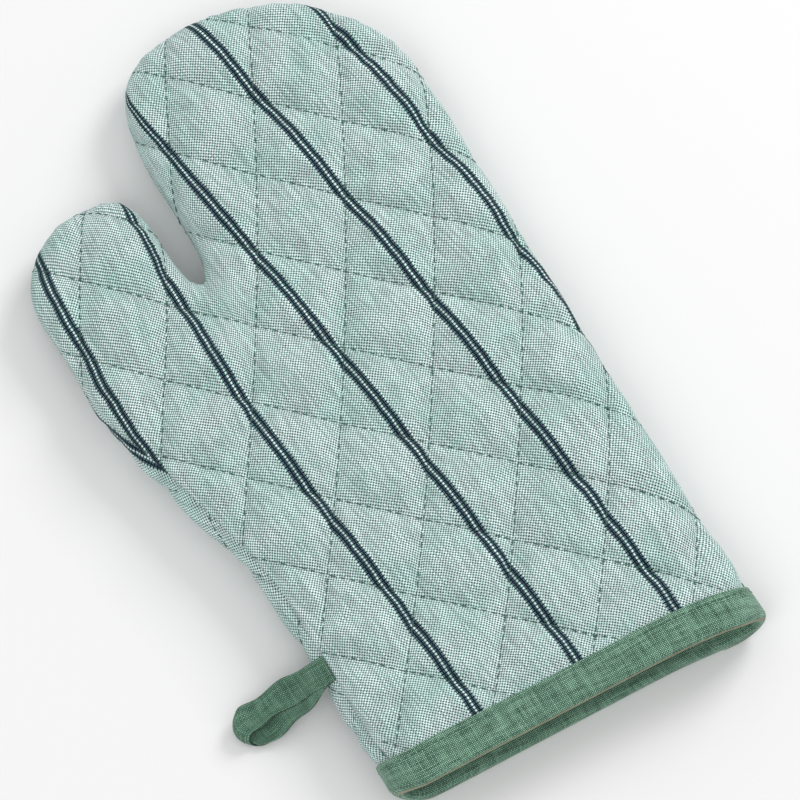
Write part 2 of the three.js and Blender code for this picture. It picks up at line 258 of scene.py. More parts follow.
class Outline:
    """The sewn edge seen from above, from the cuff up the finger side, over both tips and down the thumb."""

    SPACING = 0.7 * MM
    BELOW_CUFF = -30 * MM
    BLUNT = {"hand_left": 3.4, "hand_right": 1.85, "thumb_left": 1.85, "thumb_right": 3.0}

    def __init__(self, shape):
        self.shape = shape
        tip, thumb_tip = shape.mitt_length, shape.thumb_tip
        low_to_tip = tip * np.sin(np.linspace(0.0, math.pi / 2, 500))
        low_to_thumb = thumb_tip * np.sin(np.linspace(0.0, math.pi / 2, 500))
        between = np.linspace(shape.fork_low, thumb_tip - shape.thumb_round, 2000)
        fork = between[np.argmax(self.hand_left(between) > self.thumb_right(between))]
        pieces = [
            [(self.hand_right(0.0), self.BELOW_CUFF)],
            [(self.hand_right(y), y) for y in low_to_tip],
            [(self.hand_left(y), y) for y in low_to_tip[::-1] if y > fork],
            [(self.thumb_right(y), y) for y in low_to_thumb if y > fork],
            [(self.thumb_left(y), y) for y in low_to_thumb[::-1]],
            [(self.thumb_left(0.0), self.BELOW_CUFF)],
        ]
        rough = np.array([point for piece in pieces for point in piece])
        self.points = self.evened(rough)
        self.round_fork(fork)

    def evened(self, points):
        """The same line with its points at even steps."""
        run = np.concatenate(([0.0], np.cumsum(np.linalg.norm(np.diff(points, axis=0), axis=1))))
        even = np.arange(0.0, run[-1], self.SPACING)
        return np.column_stack([np.interp(even, run, points[:, axis]) for axis in (0, 1)])

    def round_fork(self, fork):
        """Rounds the sharp fork between thumb and fingers."""
        shape = self.shape
        middle = (self.hand_left(fork), fork)
        near = np.linalg.norm(self.points - middle, axis=1) < shape.fork_round
        for _ in range(60):
            smoothed = self.points.copy()
            smoothed[1:-1] = (self.points[:-2] + 2 * self.points[1:-1] + self.points[2:]) / 4
            self.points[near] = smoothed[near]

    def outer_left(self, y):
        """The thumb side before it rounds off at the tip."""
        shape = self.shape
        return lerp(shape.cuff_left, shape.thumb_left, smoothstep(y, shape.palm, shape.thumb_base))

    def hand_right(self, y):
        shape = self.shape
        side = shape.finger_side + shape.cuff_flare * (1 - smoothstep(y, 0.0, shape.cuff_flare_end))
        return lerp(shape.finger_peak, side,
                    round_off(y, shape.mitt_length, shape.finger_round, self.BLUNT["hand_right"]))

    def hand_left(self, y):
        shape = self.shape
        side = lerp(self.outer_left(y), -shape.finger_side, smoothstep(y, shape.fork_low, shape.fork_high))
        return lerp(shape.finger_peak, side,
                    round_off(y, shape.mitt_length, shape.finger_round, self.BLUNT["hand_left"]))

    def thumb_right(self, y):
        shape = self.shape
        side = lerp(0.0, shape.thumb_right, smoothstep(y, shape.fork_low, shape.fork_high))
        return lerp(shape.thumb_peak, side,
                    round_off(y, shape.thumb_tip, shape.thumb_round, self.BLUNT["thumb_right"]))

    def thumb_left(self, y):
        shape = self.shape
        return lerp(shape.thumb_peak, self.outer_left(y),
                    round_off(y, shape.thumb_tip, shape.thumb_round, self.BLUNT["thumb_left"]))

    def nearest(self, plan):
        """Each point's depth inside the outline, the nearest point on it, and the way in from there."""
        start, end = self.points[:-1], self.points[1:]
        run = end - start
        step = np.linalg.norm(run, axis=1)
        inward = np.column_stack((-run[:, 1], run[:, 0])) / step[:, None]
        depth, foot, way = np.empty(len(plan)), np.empty((len(plan), 2)), np.empty((len(plan), 2))
        for first in range(0, len(plan), 2000):
            some = plan[first:first + 2000]
            away = some[:, None, :] - start[None]
            share = np.clip((away * run).sum(2) / step**2, 0.0, 1.0)
            feet = start[None] + share[..., None] * run[None]
            far = np.linalg.norm(some[:, None, :] - feet, axis=2)
            best = far.argmin(1)
            rows = np.arange(len(some))
            feet, far, normal = feet[rows, best], far[rows, best], inward[best]
            side = np.sign(((some - feet) * normal).sum(1))
            depth[first:first + 2000] = side * far
            foot[first:first + 2000] = feet
            clear = (far > 0.05 * MM)[:, None]
            way[first:first + 2000] = np.where(
                clear, side[:, None] * (some - feet) / np.maximum(far, 1e-9)[:, None], normal
            )
        return depth, foot, way


DROOP_WIDTH = 50 * MM  # of the part of the cuff that droops on the finger side
SLANT_FADE = 15 * MM, 120 * MM  # from the cuff's edge: the slant is full before these and gone after


def cuff_slip(shape, x, y):
    """How far the cuff's edge strays: down on the finger side, and up where its corners are rounded."""
    left, right = shape.cuff_left, shape.finger_side + shape.cuff_flare
    share = np.clip((x - left) / (right - left), 0.0, 1.0)
    droop = shape.cuff_droop * np.clip(1.0 - (right - x) / DROOP_WIDTH, 0.0, 1.0) ** 2
    down = -(shape.cuff_slant * share + droop) * (1.0 - smoothstep(y, *SLANT_FADE))
    corner = (shape.corner_left * np.clip(1.0 - (x - left) / shape.corner_width, 0.0, 1.0) ** 2
              + shape.corner_right * np.clip(1.0 - (right - x) / shape.corner_width, 0.0, 1.0) ** 2)
    return down + corner * (1.0 - 0.45 * smoothstep(y, 0.0, 14 * MM) - 0.55 * smoothstep(y, 15 * MM, 45 * MM))


TURNS = np.linspace(-math.pi / 2, math.pi / 2, 401)


def cloth_used(shape):
    """Length of cloth round the side's quarter ellipses from its outermost line to each of TURNS."""
    across, up = -shape.edge_round * np.cos(TURNS), shape.seam_height * np.sin(TURNS)
    run = np.concatenate(([0.0], np.cumsum(np.hypot(np.diff(across), np.diff(up)))))
    return run - run[len(run) // 2]


def form_height(shape, side, y):
    """Height of the plain form above or below its outermost line."""
    if side == BACK:
        return np.full_like(y, shape.seam_height)
    return lerp(CUFF_HEIGHT, shape.tip_height, y / shape.mitt_length) - shape.seam_height


def section(shape, side, turn, y, offset):
    """A rounded side's inset and height at a turn, offset metres outside it.

    A turn below zero is in the other side's half.
    """
    height = np.where(turn < 0.0, form_height(shape, -side, y), form_height(shape, side, y))
    out, up = np.cos(turn) / shape.edge_round, np.sin(turn) / height
    size = np.hypot(out, up)
    inset = shape.edge_round * (1.0 - np.cos(turn)) - offset * out / size
    rise = height * np.sin(turn) + offset * up / size
    return inset, shape.seam_height + side * rise


def seam_turn(shape, foot):
    """How far the side seam rolls up onto the front: only below the thumb."""
    x, y = foot[..., 0], foot[..., 1]
    below_thumb = 1.0 - smoothstep(y, shape.roll_start, shape.roll_end)
    return shape.seam_roll * (x < 0.5 * shape.cuff_left) * below_thumb


class Panel:
    """One side of the mitt: a grid of flat cloth cut to the outline, and the form that it is sewn into."""

    def __init__(self, shape, quilt, outline, side, cell):
        self.shape, self.quilt, self.outline, self.side = shape, quilt, outline, side
        self.mesh = self.cut(cell)
        self.plan = read_all(self.mesh.vertices, "co")[:, :2].copy()
        self.inside, self.foot, self.inward = outline.nearest(self.plan)
        self.inside = np.maximum(self.inside, 0.0)
        share = np.clip(self.inside / shape.edge_round, 0.0, 1.0)
        used = cloth_used(shape)
        start = np.interp(seam_turn(shape, self.foot), TURNS, used) * side
        self.turn = np.interp(lerp(start, used[-1], share), used, TURNS)
        spread = (used[-1] - start - shape.edge_round) * (1.0 - share)
        self.flat = self.plan - self.inward * spread[:, None]

    def cut(self, cell):
        """A grid cut to the outline, with its border on it."""
        shape, outline = self.shape, self.outline
        left, right = outline.points[:, 0].min() - cell, outline.points[:, 0].max() + cell
        low, high = shape.panel_start, shape.mitt_length + cell
        columns, rows = round((right - left) / cell), round((high - low) / cell)
        place = Matrix.Translation(((left + right) / 2, (low + high) / 2, 0.0))
        grown = Matrix.Diagonal((right - left, high - low, 1.0, 1.0))
        bm = bmesh.new()
        bmesh.ops.create_grid(bm, x_segments=columns, y_segments=rows, size=0.5, matrix=place @ grown)
        plan = np.array([vert.co.xy for vert in bm.verts])
        depth, _, _ = outline.nearest(plan)
        spare = [vert for vert, inside in zip(bm.verts, depth) if inside < -0.45 * cell]
        bmesh.ops.delete(bm, geom=spare, context="VERTS")
        stray = [vert for vert in bm.verts if not vert.link_faces]
        bmesh.ops.delete(bm, geom=stray, context="VERTS")
        border = [vert for vert in bm.verts if vert.is_boundary and vert.co.y > low + 0.5 * cell]
        border += [vert for vert in bm.verts if vert.co.y <= low + 0.5 * cell and len(vert.link_edges) == 2]
        _, foot, _ = outline.nearest(np.array([vert.co.xy for vert in border]))
        for vert, (x, y) in zip(border, foot):
            vert.co.x, vert.co.y = x, max(y, low)
        if self.side == BACK:
            bmesh.ops.reverse_faces(bm, faces=bm.faces)
        return as_mesh(bm, "panel")

    def place(self, offset):
        """Where the points go, each its own offset in metres outside the mitt's plain form."""
        inset, height = section(self.shape, self.side, self.turn, self.plan[:, 1], offset)
        in_the_flat = (self.inside >= self.shape.edge_round)[:, None]
        plan = np.where(in_the_flat, self.plan, self.foot + self.inward * inset[:, None])
        plan[:, 1] += cuff_slip(self.shape, plan[:, 0], self.plan[:, 1])
        return np.column_stack((plan, height))


def line_sets(quilt):
    """The two sets of quilting lines: (spacing, unit vector across them, place in spacings, bow)."""
    sets = (
        (quilt.steep_pitch, quilt.steep_turn, quilt.steep_phase, quilt.steep_bow),
        (quilt.shallow_pitch, quilt.shallow_turn, quilt.shallow_phase, quilt.shallow_bow),
    )
    return [
        (pitch, np.array((math.cos(turn), math.sin(turn))), phase, bow)
        for pitch, turn, phase, bow in sets
    ]


THUMB_GRAIN = 0.95  # how strongly the warp turns back on the thumb, per metre
LINE_MIDDLE = np.array((0.0, 150 * MM))
BOW_LENGTH = 100 * MM


def line_place(flat, pitch, across, phase, bow):
    """Each point's place across one set of lines, in spacings: a whole number is on a line."""
    along = (flat - LINE_MIDDLE) @ np.array((-across[1], across[0]))
    return (flat @ across + bow * (along / BOW_LENGTH) ** 2) / pitch + phase


def line_distance(flat, quilt):
    """Each point's distance from the nearest line of each set."""
    away = []
    for pitch, across, phase, bow in line_sets(quilt):
        place = line_place(flat, pitch, across, phase, bow)
        away.append(np.abs(place - np.round(place)) * pitch)
    return away


def puff(flat, quilt):
    """0 on the quilting lines and 1 in the middle of the diamonds between them."""
    share = np.ones(len(flat))
    for away, (pitch, _, _, _) in zip(line_distance(flat, quilt), line_sets(quilt)):
        share *= 1.0 - (1.0 - np.clip(2.0 * away / pitch, 0.0, 1.0)) ** quilt.fullness
    return share


def grain(flat, side, shape, cloth):
    """Places along the weft and the warp, from the middle of a stripe.

    The warp slants a little, more toward the fingers, and the other way on the back, which is cut as a mirror
    image. On the front it turns at the thumb.
    """
    x, y = flat[:, 0], flat[:, 1]
    curve = (cloth.grain_high - cloth.grain_low) / (2.0 * shape.mitt_length)
    slant = cloth.grain_low * y + curve * y * y
    warp = y - side * (cloth.grain_low + 2.0 * curve * y) * x
    if side == BACK:
        return np.column_stack((x - slant - cloth.back_stripe_place, warp))
    thumb = smoothstep(-x, 48 * MM, 72 * MM) * np.maximum(y - 125 * MM, 0.0) ** 2
    return np.column_stack((x + slant - THUMB_GRAIN * thumb - cloth.stripe_place, warp))


# ---------------------------------------------------------------- mesh helpers


def origin():
    """The frame's place of mitt coordinates: middle of the fingers, cuff edge, ground."""
    shape = bpy.context.scene.mitt_shape
    loop_root = Vector((shape.cuff_left - HINGE_OUT, LOOP_PLACE, shape.seam_height))
    return HINGE - loop_root


def as_mesh(bm, name):
    """A new mesh with what was made in bm, which is freed."""
    mesh = bpy.data.meshes.new(name)
    bm.to_mesh(mesh)
    bm.free()
    return mesh


def read_all(items, name):
    """One three-part property of every item, such as the place of each vertex."""
    values = np.empty(len(items) * 3, dtype=np.float32)
    items.foreach_get(name, values)
    return values.reshape(-1, 3).astype(float)


def set_points(mesh, points):
    """Gives a mesh its points, in frame coordinates."""
    moved = points + np.array(origin())
    mesh.vertices.foreach_set("co", moved.astype(np.float32).ravel())
    mesh.update()


def get_points(mesh):
    """A mesh's points in mitt coordinates."""
    return read_all(mesh.vertices, "co") - np.array(origin())


def keep_flat(panel):
    """Keeps each point's place on the flat cloth, and its distance inside the seam, with the mesh."""
    layer = panel.mesh.attributes.new("flat", "FLOAT_VECTOR", "POINT")
    kept = np.column_stack((panel.flat, panel.inside))
    layer.data.foreach_set("vector", kept.astype(np.float32).ravel())


def read_flat(mesh):
    """What keep_flat kept: the flat places and the distances inside the seam."""
    values = read_all(mesh.attributes["flat"].data, "vector")
    return values[:, :2], values[:, 2]


def keep_weave(mesh, places):
    """Makes the UV map that the weave follows, in metres along weft and warp."""
    layer = mesh.uv_layers.new(name="weave")
    corners = np.empty(len(mesh.loops), dtype=np.int32)
    mesh.loops.foreach_get("vertex_index", corners)
    layer.data.foreach_set("uv", places[corners].astype(np.float32).ravel())


def flat_area(mesh, flat):
    """Area of the flat cloth under a mesh of one layer."""
    area = 0.0
    for face in mesh.polygons:
        corners = flat[list(face.vertices)]
        following = np.roll(corners, -1, axis=0)
        area += abs((corners[:, 0] * following[:, 1] - corners[:, 1] * following[:, 0]).sum()) / 2
    return area


def add_object(name, mesh, material):
    """A new object in the scene with one material and smooth faces."""
    mesh.name = name
    mesh.materials.clear()
    mesh.materials.append(material)
    mesh.polygons.foreach_set("use_smooth", np.ones(len(mesh.polygons), dtype=bool))
    obj = bpy.data.objects.new(name, mesh)
    bpy.context.collection.objects.link(obj)
    return obj


def applied(obj):
    """Applies an object's modifiers to its mesh."""
    result = obj.evaluated_get(bpy.context.evaluated_depsgraph_get())
    mesh = bpy.data.meshes.new_from_object(result)
    obj.modifiers.clear()
    old, obj.data = obj.data, mesh
    mesh.name = obj.name
    bpy.data.meshes.remove(old)


def subdivided(obj):
    """One round of subdivision, applied."""
    modifier = obj.modifiers.new("fine", "SUBSURF")
    modifier.levels = modifier.render_levels = 1
    modifier.boundary_smooth = "PRESERVE_CORNERS"
    applied(obj)


def thicken(obj, thickness, group=None):
    """Gives a sheet its thickness, on the inner side."""
    modifier = obj.modifiers.new("thickness", "SOLIDIFY")
    modifier.thickness = thickness
    modifier.offset = -1.0
    modifier.use_rim = True
    if group:
        modifier.vertex_group = group
    applied(obj)


def weights(obj, name, values):
    """A vertex group with one weight for each point."""
    group = obj.vertex_groups.new(name=name)
    for index, value in enumerate(values):
        group.add([index], float(value), "REPLACE")


# ---------------------------------------------------------------- covers, wadding and linings


CELL = {"cover": 2.7 * MM, "wadding": 4.0 * MM, "lining": 3.2 * MM}  # of the grid that a layer starts from
THICKNESS = {"cover": 0.8 * MM, "wadding": 3.4 * MM, "lining": 0.6 * MM}
UNDER_TAPE = {"cover": -1.25 * MM, "wadding": -2.1 * MM, "lining": -3.0 * MM}  # offset in the tape's grip
INNER_OFFSETS = {"wadding": (-4.6 * MM, -2.3 * MM), "lining": (-5.5 * MM, -5.9 * MM)}  # at lines, in puffs
THIN = 0.22  # thickness of the wadding at the quilting lines, as a share of its full one
EDGE_FADE = 9 * MM  # from the seam in, over which the inner layers' puffs rise
SEAM_PUFF = 0.7  # how far up a puff the side seam lies, the same on both covers so that their edges meet
TAPE_END, TAPE_FREE = 14 * MM, 26 * MM  # from the cuff's edge: still squeezed by the tape, and free of it


def puffed(panel):
    """How far each point is up its puff: 0 at the lines, the seam and the tape, 1 in full middles."""
    raised = puff(panel.flat, panel.quilt) * smoothstep(panel.inside, 0.0, EDGE_FADE)
    return raised * smoothstep(panel.plan[:, 1], TAPE_END, TAPE_FREE)


def layer_offset(panel, layer):
    """An inner layer's place in the thickness: between the lines and the puffs, and flat in the tape."""
    free = smoothstep(panel.plan[:, 1], TAPE_END, TAPE_FREE)
    return lerp(UNDER_TAPE[layer], lerp(*INNER_OFFSETS[layer], puffed(panel)), free)


SEAM_RISE = 4.5 * MM  # from the seam in, over which a cover leaves its puff at the seam
EDGE_BAND = 3 * MM, 14 * MM  # from the seam in: the mitt's edge, and clear of it
EDGE_VALLEY = 0.35  # depth of the valleys at the mitt's edge, as a share of their depth elsewhere


def cover_offset(panel):
    """The cover's offset: valleys at the lines, full at the mitt's edge, with a groove at the side seam."""
    quilt, shape = panel.quilt, panel.shape
    crest = quilt.crest if panel.side == FRONT else 0.0
    raised = lerp(SEAM_PUFF, puff(panel.flat, quilt), smoothstep(panel.inside, 0.0, SEAM_RISE))
    at_edge = 1.0 - smoothstep(panel.inside, *EDGE_BAND)
    valley = lerp(-quilt.valley, -EDGE_VALLEY * quilt.valley, at_edge)
    offset = lerp(valley, lerp(crest, quilt.edge_crest, at_edge), raised ** lerp(1.0, 0.5, at_edge))
    offset = lerp(UNDER_TAPE["cover"], offset, smoothstep(panel.plan[:, 1], TAPE_END, TAPE_FREE))
    return offset - shape.seam_groove * (1.0 - smoothstep(panel.inside, 0.0, shape.groove_width))


SWELL_FRAMES = 18
SWELL_CAP = 2.2 * MM  # the furthest that a point may move
HELD_AT_LINES = 1.0 * MM, 3.2 * MM  # distances: held fast up to the first, free from the second
HELD_AT_SEAM = 1.5 * MM, 5 * MM
HELD_AT_TAPE = 15 * MM, 19 * MM
CLOTH_SETTINGS = {
    "quality": 5,
    "mass": 0.2,
    "tension_stiffness": 12.0,
    "compression_stiffness": 12.0,
    "shear_stiffness": 4.0,
    "bending_stiffness": 0.25,
    "air_damping": 2.0,
    "vertex_group_mass": "sewn",
    "pin_stiffness": 1.0,
    "use_pressure": True,
    "uniform_pressure_force": 4.0,
}


def fill_with_wadding(obj, panel):
    """Presses the cover out from inside, held at its stitched lines, by cloth simulation."""
    quilt = panel.quilt
    start = get_points(obj.data)
    away = np.minimum(*line_distance(panel.flat, quilt))
    held = 1.0 - smoothstep(away, *HELD_AT_LINES)
    held = np.maximum(held, 1.0 - smoothstep(panel.inside, *HELD_AT_SEAM))
    held = np.maximum(held, 1.0 - smoothstep(panel.plan[:, 1], *HELD_AT_TAPE))
    weights(obj, "sewn", held)
    modifier = obj.modifiers.new("cloth", "CLOTH")
    settings = modifier.settings
    for name, value in CLOTH_SETTINGS.items():
        setattr(settings, name, value)
    settings.shrink_min = settings.shrink_max = -quilt.slack
    settings.effector_weights.gravity = 0.0
    modifier.collision_settings.use_collision = False
    scene = bpy.context.scene
    for frame_number in range(1, SWELL_FRAMES + 1):
        scene.frame_set(frame_number)
    applied(obj)
    scene.frame_set(1)
    moved = get_points(obj.data) - start
    far = np.linalg.norm(moved, axis=1)
    limited = np.tanh(far / SWELL_CAP) * SWELL_CAP / np.maximum(far, 1e-9)
    moved *= limited[:, None] * (1.0 - held)[:, None]
    points = start + moved
    if panel.side == BACK:
        points[:, 2] = np.maximum(points[:, 2], np.minimum(start[:, 2], 0.15 * MM))
    set_points(obj.data, points)


CREASE_WIDTH = 1.2 * MM
PUCKER_SIZE, PUCKER_REACH = 4.2 * MM, 5.5 * MM  # from fold to fold along a line, and away from it
RUMPLE = 0.5 * MM  # height of the slack cloth's wide, low waves
RUMPLE_SIZE = (17 * MM, 23 * MM)


def crease(obj, quilt, side):
    """Sinks the stitched lines into the finished cover and draws small puckers out from them."""
    mesh = obj.data
    flat, inside = read_flat(mesh)
    points = get_points(mesh)
    free = smoothstep(flat[:, 1], 15 * MM, 20 * MM) * smoothstep(inside, 0.5 * MM, 4 * MM)
    sunk, pucker = np.zeros(len(points)), np.zeros(len(points))
    for which, (pitch, across, phase, bow) in enumerate(line_sets(quilt)):
        place = line_place(flat, pitch, across, phase, bow)
        line = np.round(place)
        away = np.abs(place - line) * pitch
        along = flat @ np.array((-across[1], across[0]))
        sunk = np.maximum(sunk, np.exp(-(away / CREASE_WIDTH) ** 2))
        wave = np.array([
            noise.noise(Vector((run / PUCKER_SIZE, row * 7.3 + which * 31.0 + side * 5.0, far / (9 * MM))))
            for run, row, far in zip(along, line, away)
        ])
        pucker += wave * np.exp(-(away / PUCKER_REACH)) * smoothstep(away, 0.2 * MM, 1.6 * MM)
    rumple = np.array([
        noise.noise(Vector((x / RUMPLE_SIZE[0], y / RUMPLE_SIZE[1], side * 3.0))) for x, y in flat
    ])
    depth = quilt.pucker * pucker - quilt.crease * sunk + RUMPLE * rumple
    points += read_all(mesh.vertex_normals, "vector") * (depth * free)[:, None]
    points[:, 2] = np.maximum(points[:, 2], 0.0)
    set_points(mesh, points)


def make_cover(side):
    """The woven outside of one side, puffed between its quilting lines."""
    scene = bpy.context.scene
    shape, quilt, cloth = scene.mitt_shape, scene.mitt_quilt, scene.mitt_cloth
    panel = Panel(shape, quilt, Outline(shape), side, CELL["cover"])
    mesh = panel.mesh
    set_points(mesh, panel.place(cover_offset(panel)))
    keep_flat(panel)
    keep_weave(mesh, grain(panel.flat, side, shape, cloth))
    area = flat_area(mesh, panel.flat)
    obj = add_object(SIDE_NAMES[side] + "_cover_cloth", mesh, cover_cloth())
    fill_with_wadding(obj, panel)
    subdivided(obj)
    crease(obj, quilt, side)
    thicken(obj, THICKNESS["cover"])
    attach(obj, "mitt")
    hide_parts(SIDE_NAMES[side] + "_cover")


def make_wadding(side):
    """The cotton layer between cover and lining, squeezed thin at the quilting lines."""
    scene = bpy.context.scene
    shape, quilt = scene.mitt_shape, scene.mitt_quilt
    panel = Panel(shape, quilt, Outline(shape), side, CELL["wadding"])
    set_points(panel.mesh, panel.place(layer_offset(panel, "wadding")))
    obj = add_object(SIDE_NAMES[side] + "_wadding_layer", panel.mesh, wadding())
    weights(obj, "loft", lerp(THIN, 1.0, puffed(panel)))
    thicken(obj, THICKNESS["wadding"], "loft")
    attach(obj, "mitt")
    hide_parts(SIDE_NAMES[side] + "_wadding")


def make_lining(side):
    """The cotton inside of one side, drawn toward the cover at the quilting lines."""
    scene = bpy.context.scene
    shape, quilt, cloth = scene.mitt_shape, scene.mitt_quilt, scene.mitt_cloth
    panel = Panel(shape, quilt, Outline(shape), side, CELL["lining"])
    mesh = panel.mesh
    set_points(mesh, panel.place(layer_offset(panel, "lining")))
    keep_flat(panel)
    keep_weave(mesh, panel.flat)
    area = flat_area(mesh, panel.flat)
    obj = add_object(SIDE_NAMES[side] + "_lining_cloth", mesh, lining_cloth())
    subdivided(obj)
    thicken(obj, THICKNESS["lining"])
    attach(obj, "mitt")
    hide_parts(SIDE_NAMES[side] + "_lining")


# ---------------------------------------------------------------- tape


FOLD_RADIUS = 2.35 * MM  # of the binding's fold round the cuff's edge
ROUND_STEPS = 240  # steps of the binding's grid once round the cuff
LAP_STEPS = 10  # and past that, where the tape laps over its own start
LAP_RISE = 6  # steps before the lap over which the tape rises
WIDTH_STEPS = 26  # steps across the binding's tape
LAP_PLACE = 0.53  # where the tape starts, as a share of the way round the cuff
EDGE_WANDER = 0.25 * MM  # how far the binding's outer edge strays from straight
EDGE_STEPS = 3  # steps across the tape that stray with it
EDGE_BEVEL = 0.4  # of a tape's edges, as a share of its thickness


def cuff_ring(shape, y, offset, count):
    """Even points round the cuff at y, offset metres outside the mitt's plain form, and its length."""
    outline = Outline(shape)
    left, right = float(outline.thumb_left(y)), float(outline.hand_right(y))
    turns = np.linspace(0.0, math.pi / 2, 60)
    there = np.full_like(turns, y)
    front_inset, front_height = section(shape, FRONT, turns, there, offset)
    back_inset, back_height = section(shape, BACK, turns, there, offset)
    across = np.concatenate((left + front_inset, right - front_inset[::-1], right - back_inset[1:],
                             left + back_inset[::-1]))
    up = np.concatenate((front_height, front_height[::-1], back_height[1:], back_height[::-1]))
    run = np.concatenate(([0.0], np.cumsum(np.hypot(np.diff(across), np.diff(up)))))
    even = np.linspace(0.0, run[-1], count)
    return np.interp(even, run, across), np.interp(even, run, up), run[-1]


def tape_grid(rows, columns):
    """A unit grid of tape, rows along it and columns across it, with its (along, across) places."""
    bm = bmesh.new()
    bmesh.ops.create_grid(bm, x_segments=rows, y_segments=columns, size=0.5)
    mesh = as_mesh(bm, "tape")
    return mesh, read_all(mesh.vertices, "co")[:, :2] + 0.5


def turn_over(mesh):
    """Turns a sheet's faces to its other side."""
    bm = bmesh.new()
    bm.from_mesh(mesh)
    bmesh.ops.reverse_faces(bm, faces=bm.faces)
    bm.to_mesh(mesh)
    bm.free()


def round_edges(obj, width):
    """Rounds a tape's cut or folded edges."""
    modifier = obj.modifiers.new("edges", "BEVEL")
    modifier.width = width
    modifier.segments = 2
    modifier.limit_method = "ANGLE"
    modifier.angle_limit = math.radians(50)
    applied(obj)


def make_binding():
    """The tape folded over the cuff's edge, lapped over itself at the finger side."""
    scene = bpy.context.scene
    shape, tape = scene.mitt_shape, scene.mitt_tape
    thick, fold = tape.thickness, FOLD_RADIUS
    legs = tape.width - fold, math.pi * fold, tape.inner_width - fold
    whole = sum(legs)
    steps = ROUND_STEPS + LAP_STEPS
    mesh, places = tape_grid(steps, WIDTH_STEPS)
    _, _, perimeter = cuff_ring(shape, 0.0, 0.0, 500)
    step = perimeter / ROUND_STEPS
    across = np.round(places[:, 1] * WIDTH_STEPS).astype(int)
    along = np.round(places[:, 0] * steps).astype(int)
    points = np.empty((len(places), 3))
    grid = np.arange(ROUND_STEPS + 1)
    wander = np.sin(grid[:-1] * 2 * math.pi * 3 / ROUND_STEPS) * EDGE_WANDER
    for row in range(WIDTH_STEPS + 1):
        run = whole * row / WIDTH_STEPS
        if run < legs[0]:
            y, offset = tape.width - run, 0.0
        elif run < legs[0] + legs[1]:
            turn = (run - legs[0]) / fold
            y, offset = fold - fold * math.sin(turn), -fold + fold * math.cos(turn)
        else:
            y, offset = fold + run - legs[0] - legs[1], -2.0 * fold
        lapped = offset + (thick if offset > -fold else -thick)
        ring_x, ring_z, _ = cuff_ring(shape, y, offset, ROUND_STEPS + 1)
        lap_x, lap_z, _ = cuff_ring(shape, y, lapped, ROUND_STEPS + 1)
        mine = across == row
        place = (along[mine] / ROUND_STEPS + LAP_PLACE) % 1.0 * ROUND_STEPS
        lap = smoothstep(along[mine], ROUND_STEPS - LAP_RISE, ROUND_STEPS + 1)
        points[mine, 0] = lerp(np.interp(place, grid, ring_x), np.interp(place, grid, lap_x), lap)
        points[mine, 2] = lerp(np.interp(place, grid, ring_z), np.interp(place, grid, lap_z), lap)
        points[mine, 1] = y + np.interp(place, grid[:-1], wander) * (1.0 if row < EDGE_STEPS else 0.0)
        points[mine, 1] += cuff_slip(shape, points[mine, 0], points[mine, 1])
    points[:, 2] = np.maximum(points[:, 2], 0.0)
    set_points(mesh, points)
    keep_weave(mesh, np.column_stack((places[:, 0] * step * steps, places[:, 1] * whole)))
    turn_over(mesh)
    obj = add_object("cuff_tape", mesh, green_tape("cuff"))
    thicken(obj, thick)
    round_edges(obj, EDGE_BEVEL * thick)
    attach(obj, "mitt")
    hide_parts("cuff_binding")


def bezier(ends, count):
    """Evenly parted points on a cubic curve through four control points."""
    share = np.linspace(0.0, 1.0, count)[:, None]
    blend = ((1 - share) ** 3, 3 * share * (1 - share) ** 2, 3 * share**2 * (1 - share), share**3)
    return sum(weight * np.array(point) for weight, point in zip(blend, ends))


LEG_POINTS, EYE_POINTS = 80, 16  # of the loop's path: along each leg and round its eye


def loop_path(shape, tape, count):
    """The loop's middle line in X and Z, from the seam round the eye and back, and its length."""
    roll = np.array([shape.seam_roll])
    inset, height = section(shape, FRONT, roll, np.array([LOOP_PLACE]), np.array([0.1 * MM]))
    root = np.array((shape.cuff_left + inset[0], height[0]))
    tip = np.array((shape.cuff_left - HINGE_OUT - tape.loop_reach, tape.loop_eye + 1.3 * MM))
    leave = root + np.array((-9.0, -1.5)) * MM
    arrive = np.array((lerp(root[0], tip[0], 0.5), tip[1]))
    middle = bezier((root, leave, arrive, tip), LEG_POINTS)
    share = np.linspace(0.0, 1.0, LEG_POINTS)
    apart = lerp(tape.thickness * 0.58, tape.loop_eye, smoothstep(share, 0.6, 0.88))
    slope = np.gradient(middle, axis=0)
    normal = np.column_stack((slope[:, 1], -slope[:, 0])) / np.linalg.norm(slope, axis=1)[:, None]
    upper, lower = middle + normal * apart[:, None], middle - normal * apart[:, None]
    turn = np.linspace(math.pi / 2, -math.pi / 2, EYE_POINTS)[1:-1]
    end = tip + np.column_stack((-np.cos(turn), np.sin(turn))) * tape.loop_eye
    path = np.concatenate((upper, end, lower[::-1]))
    run = np.concatenate(([0.0], np.cumsum(np.linalg.norm(np.diff(path, axis=0), axis=1))))
    even = np.linspace(0.0, run[-1], count)
    return np.interp(even, run, path[:, 0]), np.interp(even, run, path[:, 1]), run[-1]


LEG_CHANGE = 0.42, 0.58  # along the tape: the upper leg ends and the lower leg starts
LEG_PARTING = 0.02, 0.2  # from either root: the legs start to part and have parted
SKEW_SHARES = 0.3, -0.7  # how much of the skew each leg takes
EYE_SPREAD = 0.12  # share of the tape's length that rounds off at the eye
LOOP_WAVE, LOOP_RIDGE = 0.8 * MM, 1.1 * MM  # sideways wave of the legs, and lift of the upper leg's edge


